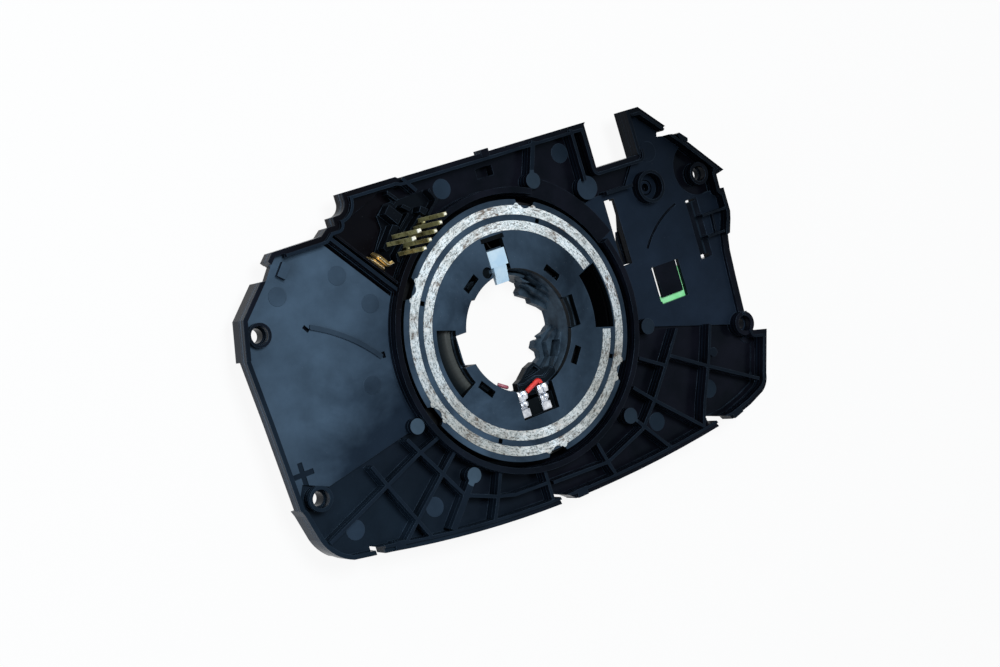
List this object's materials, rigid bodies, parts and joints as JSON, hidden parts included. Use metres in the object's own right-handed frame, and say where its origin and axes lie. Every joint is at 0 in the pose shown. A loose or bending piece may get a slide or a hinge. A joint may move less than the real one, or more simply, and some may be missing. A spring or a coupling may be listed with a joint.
{
  "type": "steering clock spring",
  "caption": "Steering-column clock spring: a rotor with slip rings turning in the round well of a ribbed carrier plate, with a pin header and a sliding centring tab.",
  "frame": {"origin": "on the rotor axis, in the plane of the rear spigot's rim, which is the object's lowest plane", "axes": "+Z along the rotor axis, out of the face with the slip rings; +X along the plate's length, towards the wing with the round tongue and the open notch; +Y towards the straight edge by the pin header"},
  "size_m": [0.2311, 0.1409, 0.041],
  "materials": {
    "carrier_plastic": "satin",
    "rotor_plastic": "satin",
    "bracket_plastic": "satin",
    "header_plastic": "satin",
    "ring_metal": "worn, mottled",
    "terminal_metal": "bright tin",
    "pin_metal": "tinned, bright tips",
    "lead_metal": "bright",
    "white_plastic": "gloss",
    "green_plastic": "gloss",
    "red_insulation": "gloss",
    "pink_insulation": "gloss",
    "ribbon_film": "satin film"
  },
  "bodies": {
    "stator": {"carrier_plate": "carrier_plastic", "cassette_cover": "carrier_plastic", "pin_header": "header_plastic", "pin_row_a": "pin_metal", "pin_row_b": "pin_metal", "bent_leads": "lead_metal", "green_clip": "green_plastic"},
    "rotor": {"rotor_disc": "rotor_plastic", "outer_slip_ring": "ring_metal", "inner_slip_ring": "ring_metal", "rotor_hub": "rotor_plastic", "terminal_left": "terminal_metal", "terminal_right": "terminal_metal", "red_wire": "red_insulation", "pink_wire": "pink_insulation", "wire_bracket": "bracket_plastic", "ribbon_cable": "ribbon_film", "inner_lead_block": "rotor_plastic"},
    "lock": {"lock_tab": "white_plastic"}
  },
  "joints": [
    {"name": "rotor_turn", "type": "hinge", "parent": "stator", "child": "rotor", "pos_m": [0, 0, 0], "axis": [0, 0, 1], "range_deg": [-900, 900], "deforming": ["ribbon_cable"]},
    {"name": "lock_slide", "type": "slide", "parent": "rotor", "child": "lock", "axis": [0, 1, 0], "range_m": [0, 0.0035]}
  ]
}
